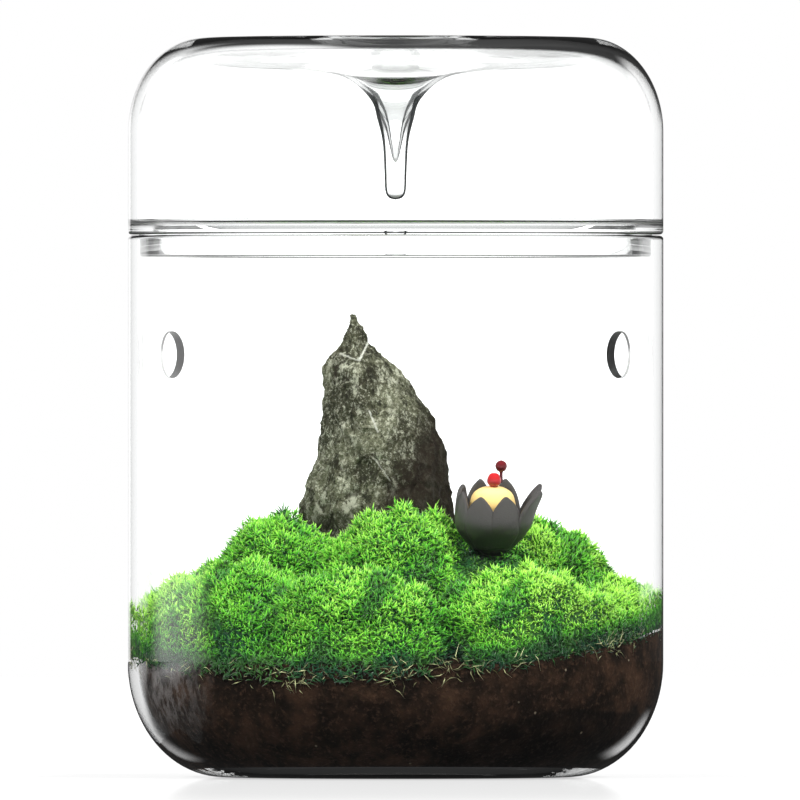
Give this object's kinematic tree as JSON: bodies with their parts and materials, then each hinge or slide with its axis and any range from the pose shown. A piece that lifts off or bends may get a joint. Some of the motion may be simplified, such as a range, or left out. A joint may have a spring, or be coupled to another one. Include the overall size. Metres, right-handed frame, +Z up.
{
  "type": "glass plant terrarium",
  "caption": "Round clear glass jar with rear vents and a lid that ends in a hanging glass drip, over dark soil, cushions of moss, an upright grey stone and a small lotus ornament.",
  "frame": {"origin": "centre of the jar's flat underside, on the surface that the terrarium stands on", "axes": "+Z up the jar's axis, -Y towards the front, where the stone's ridge and the ornament are seen, +X to the right as seen from the front"},
  "size_m": [0.12, 0.12, 0.1656],
  "materials": {
    "jar_glass": "polished",
    "lid_glass": "polished",
    "soil": "matte",
    "stone": "matte",
    "moss": "matte",
    "lotus_cup": "satin",
    "lotus_pod": "satin",
    "red_berry": "gloss",
    "dark_berry": "satin"
  },
  "bodies": {
    "root": {"jar": "jar_glass", "lid": "lid_glass", "soil": "soil", "stone": "stone", "moss_cushion_01": "moss", "moss_cushion_02": "moss", "moss_cushion_03": "moss", "moss_cushion_04": "moss", "moss_cushion_05": "moss", "moss_cushion_06": "moss", "moss_cushion_07": "moss", "moss_cushion_08": "moss", "moss_cushion_09": "moss", "moss_cushion_10": "moss", "moss_cushion_11": "moss", "moss_cushion_12": "moss", "moss_cushion_13": "moss", "moss_cushion_14": "moss", "lotus_cup": "lotus_cup", "lotus_pod": "lotus_pod", "red_berry": "red_berry", "dark_berry": "dark_berry"}
  },
  "joints": []
}
